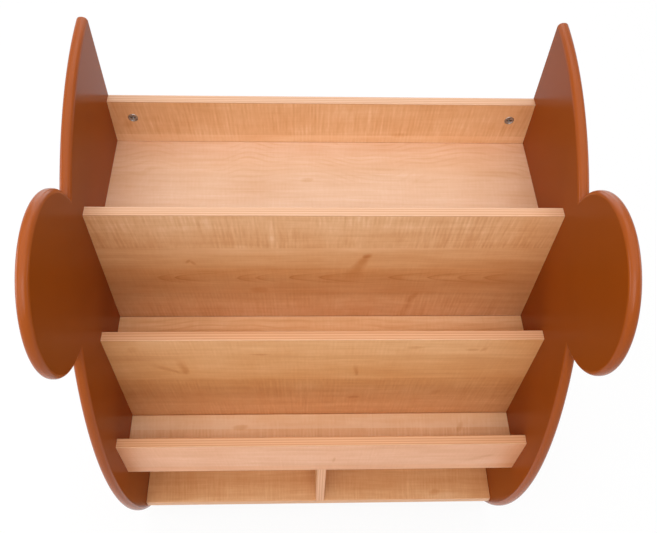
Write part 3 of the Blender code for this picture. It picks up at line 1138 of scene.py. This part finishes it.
screw = {
    "head": 0.005,
    "headEase": 0.0003,
    "headFlat": 0.0008,
    "headDepth": 0.003,
    "shaft": 0.0034,
    "shaftHigh": 0.018,
    "threadLow": 0.0186,
    "threadHigh": 0.046,
    "threadRoot": 0.0026,
    "pitch": 0.0026,
    "tip": 0.0006,
    "length": 0.050,
    "socket": 0.0022,
    "socketDepth": 0.002,
    "socketSides": 6,
    "sides": 24,
    "smoothDegrees": 30,
}


def makeScrew():
    head, ease, depth = screw["head"], screw["headEase"], screw["socketDepth"]
    rings = [(head - ease, 0.0), (head, ease), (head, screw["headFlat"])]
    rings += [(screw["shaft"], screw["headDepth"]), (screw["shaft"], screw["shaftHigh"])]
    rings += threadRings(
        screw["threadLow"], screw["threadHigh"], screw["shaft"], screw["threadRoot"], screw["pitch"]
    )
    rings += [(screw["tip"], screw["length"])]
    obj = turnUp("screw", rings, screw["sides"])
    socket = addCylinder(screw["socket"], (0, 0, -depth), (0, 0, depth), 2, screw["socketSides"])
    combine(obj, socket, "DIFFERENCE")
    obj.data.materials.append(steel)
    smoothOff(obj, screw["smoothDegrees"])
    return obj


def axes(origin, up, across):
    up, across = Vector(up), Vector(across)
    turn = Matrix((across, up.cross(across), up)).transposed()
    return Matrix.Translation(origin) @ turn.to_4x4()


def copyTo(master, node, place, finish):
    take(master)
    bpy.ops.object.duplicate(linked=False)
    obj = bpy.context.object
    obj.name = node + "_detailed"
    obj.matrix_world = place
    applyPlace()
    if finish:
        obj.data.materials.append(finish)
    handOver(obj, node)


camMaster, boltMaster, dowelMaster, screwMaster = makeCam(), makeBolt(), makeDowel(), makeScrew()
camFaces = {"back_rail": (0, -1, 0), "shelf": (0, 0, -1), "board": (0, 1, 0), "lip": (0, 1, 0)}
for fitting in fittings:
    low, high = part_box(fitting)
    middle = (low + high) / 2
    outward = Vector((-1, 0, 0)) if fitting.endswith("left") else Vector((1, 0, 0))
    size = high - low
    if "_cam_" in fitting:
        face = Vector(next(way for word, way in camFaces.items() if word in fitting))
        origin = middle + face * size[axisOf(fitting)] / 2
        copyTo(camMaster, fitting, axes(origin, face, outward), None)
    elif "_bolt_" in fitting:
        origin = middle + outward * size.x / 2
        copyTo(boltMaster, fitting, axes(origin, -outward, (0, 0, 1)), None)
    elif "_screw" in fitting:
        origin = Vector((middle.x, middle.y, low.z))
        copyTo(screwMaster, fitting, axes(origin, (0, 0, 1), (1, 0, 0)), None)
    elif axisOf(fitting) == 0:
        copyTo(dowelMaster, fitting, axes(middle, (1, 0, 0), (0, 0, 1)), beechLevel)
    else:
        slim = max(size.x, size.y) / (2 * dowel["radius"])  # the divider's dowels are thinner
        place = axes(middle, (0, 0, 1), (1, 0, 0)) @ Matrix.Diagonal((slim, slim, 1, 1))
        copyTo(dowelMaster, fitting, place, beechUpright)
for master in (camMaster, boltMaster, dowelMaster, screwMaster):
    bpy.data.objects.remove(master)
print(len(fittings), "fittings placed")


# Plain studio: pale floor, white surroundings, wide soft lamps overhead and all round

studio = {
    "floorSize": 14.0,
    "floorColour": (0.92, 0.92, 0.92, 1.0),
    "floorRoughness": 0.9,
    "floorGlow": 0.90,  # the rest of the floor's own white comes in with distance
    "floorFade": (0.9, 3.0),
    "ambient": 0.03,
    "aim": (0.0, 0.0, 0.4),
    "lamps": [
        {"name": "ceiling", "place": (0.0, 0.0, 4.0), "size": 6.0, "watts": 124.0},
        {"name": "front left", "place": (-1.7, -2.0, 2.2), "size": 2.2, "watts": 21.0},
        {"name": "front high", "place": (0.0, -2.2, 2.8), "size": 2.2, "watts": 43.0},
        {"name": "back high", "place": (0.0, 2.0, 2.8), "size": 2.2, "watts": 11.0},
        {"name": "back low", "place": (0.0, 2.6, 1.2), "size": 3.0, "watts": 35.0},
        {"name": "left low", "place": (-2.6, -0.1, 1.0), "size": 1.6, "watts": 26.0},
        {"name": "right low", "place": (2.6, 0.1, 1.0), "size": 1.6, "watts": 12.0},
    ],
}


def seenDirectly(wire):
    # by the camera, in a shiny face or through a clear one
    kinds = ("Is Camera Ray", "Is Glossy Ray", "Is Transmission Ray")
    camera, glossy, through = [wire.node("LightPath", {}, {}, kind) for kind in kinds]
    return wire.math("MINIMUM", camera + glossy + through, 1.0)


deselect()
bpy.ops.mesh.primitive_plane_add(size=studio["floorSize"], location=(0, 0, 0))
floor = bpy.context.object
floor.name = "floor"
floorMaterial, wire, shader = startMaterial("pale floor")
shader.inputs["Base Color"].default_value = studio["floorColour"]
shader.inputs["Roughness"].default_value = studio["floorRoughness"]
shader.inputs["Specular IOR Level"].default_value = 0.0
glow = wire.node("Emission", {}, {"Color": (1, 1, 1, 1), "Strength": 1.0})
x, y, z = objectPlace(wire)
far = wire.math("SQRT", x * x + y * y).ease(*studio["floorFade"])
glowShare = far * (1.0 - studio["floorGlow"]) + studio["floorGlow"]
surface = wire.node("MixShader", {}, {0: seenDirectly(wire) * glowShare, 2: glow})
wire.tree.links.new(shader.outputs[0], surface.socket.node.inputs[1])
wire.tree.links.new(surface.socket, wire.tree.nodes["Material Output"].inputs["Surface"])
floor.data.materials.append(floorMaterial)

world = bpy.data.worlds.new("studio")
bpy.context.scene.world = world
world.use_nodes = True
wire = Wire(world.node_tree)
seen = seenDirectly(wire)
strength = seen + (1.0 - seen) * studio["ambient"]
background = world.node_tree.nodes["Background"]
background.inputs["Color"].default_value = (1, 1, 1, 1)
wire.tree.links.new(strength.socket, background.inputs["Strength"])

for lamp in studio["lamps"]:
    light = bpy.data.lights.new(lamp["name"], "AREA")
    light.shape = "DISK"
    light.size = lamp["size"]
    light.energy = lamp["watts"]
    holder = bpy.data.objects.new(lamp["name"], light)
    holder.location = lamp["place"]
    toAim = Vector(studio["aim"]) - Vector(lamp["place"])
    holder.rotation_euler = toAim.to_track_quat("-Z", "Y").to_euler()
    holder.visible_camera = False
    bpy.context.scene.collection.objects.link(holder)
print("floor, world and lamps set")


# Camera where the photograph was taken from, looking steeply down on the front

view = {
    "place": (-0.0372, -0.6691, 1.4605),
    "yaw": 4.00,
    "pitch": 56.24,
    "roll": 3.17,
    "lens": 40.24,
    "sensor": 36.0,
    "shiftUp": 0.0683,
}
camera = bpy.data.objects.new("camera", bpy.data.cameras.new("camera"))
camera.data.lens = view["lens"]
camera.data.sensor_width = view["sensor"]
camera.data.shift_y = view["shiftUp"]
turn = Matrix.Rotation(math.radians(-view["yaw"]), 4, "Z")
turn = turn @ Matrix.Rotation(math.radians(90 - view["pitch"]), 4, "X")
turn = turn @ Matrix.Rotation(math.radians(view["roll"]), 4, "Z")
camera.matrix_world = Matrix.Translation(view["place"]) @ turn
bpy.context.scene.collection.objects.link(camera)
bpy.context.scene.camera = camera
bpy.context.scene.view_settings.view_transform = "Standard"
